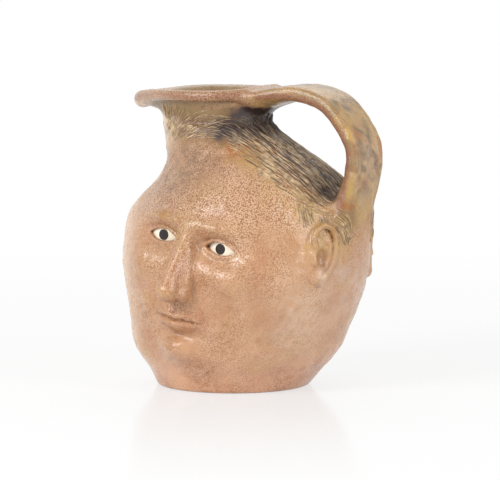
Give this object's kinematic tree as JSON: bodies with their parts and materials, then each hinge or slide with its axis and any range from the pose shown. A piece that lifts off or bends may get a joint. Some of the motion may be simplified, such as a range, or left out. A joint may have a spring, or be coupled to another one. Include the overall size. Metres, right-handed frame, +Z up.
{
  "type": "face jug",
  "caption": "Hollow stoneware jug shaped as a head with a calm face on each side, a squeezed neck, a rim pulled into a pouring lip and a strap handle.",
  "frame": {"origin": "centre of the foot, on the surface that the jug stands on", "axes": "+Z up, -X towards the pouring lip, +X towards the handle, -Y out of the front face and +Y out of the back face"},
  "size_m": [0.1599, 0.1652, 0.1766],
  "materials": {
    "salt_glaze": "salt-glazed stoneware, warm buff with brown speckle, satin gloss",
    "neck_glaze": "salt-glazed stoneware, ochre and brown, satin gloss",
    "handle_glaze": "salt-glazed stoneware, mottled ochre, olive and grey, satin gloss",
    "white_clay": "white clay under clear glaze",
    "dark_slip": "near-black slip under clear glaze"
  },
  "bodies": {
    "root": {"ear_back": "salt_glaze", "ear_front": "salt_glaze", "eye_white_handle_back": "white_clay", "eye_white_handle_front": "white_clay", "eye_white_spout_back": "white_clay", "eye_white_spout_front": "white_clay", "head_wall": "salt_glaze", "iris_handle_back": "dark_slip", "iris_handle_front": "dark_slip", "iris_spout_back": "dark_slip", "iris_spout_front": "dark_slip", "lower_lid_handle_back": "salt_glaze", "lower_lid_handle_front": "salt_glaze", "lower_lid_spout_back": "salt_glaze", "lower_lid_spout_front": "salt_glaze", "lower_lip_back": "salt_glaze", "lower_lip_front": "salt_glaze", "neck_collar": "neck_glaze", "nose_back": "salt_glaze", "nose_front": "salt_glaze", "strap_handle": "handle_glaze", "upper_lid_handle_back": "salt_glaze", "upper_lid_handle_front": "salt_glaze", "upper_lid_spout_back": "salt_glaze", "upper_lid_spout_front": "salt_glaze", "upper_lip_back": "salt_glaze", "upper_lip_front": "salt_glaze"}
  },
  "joints": []
}
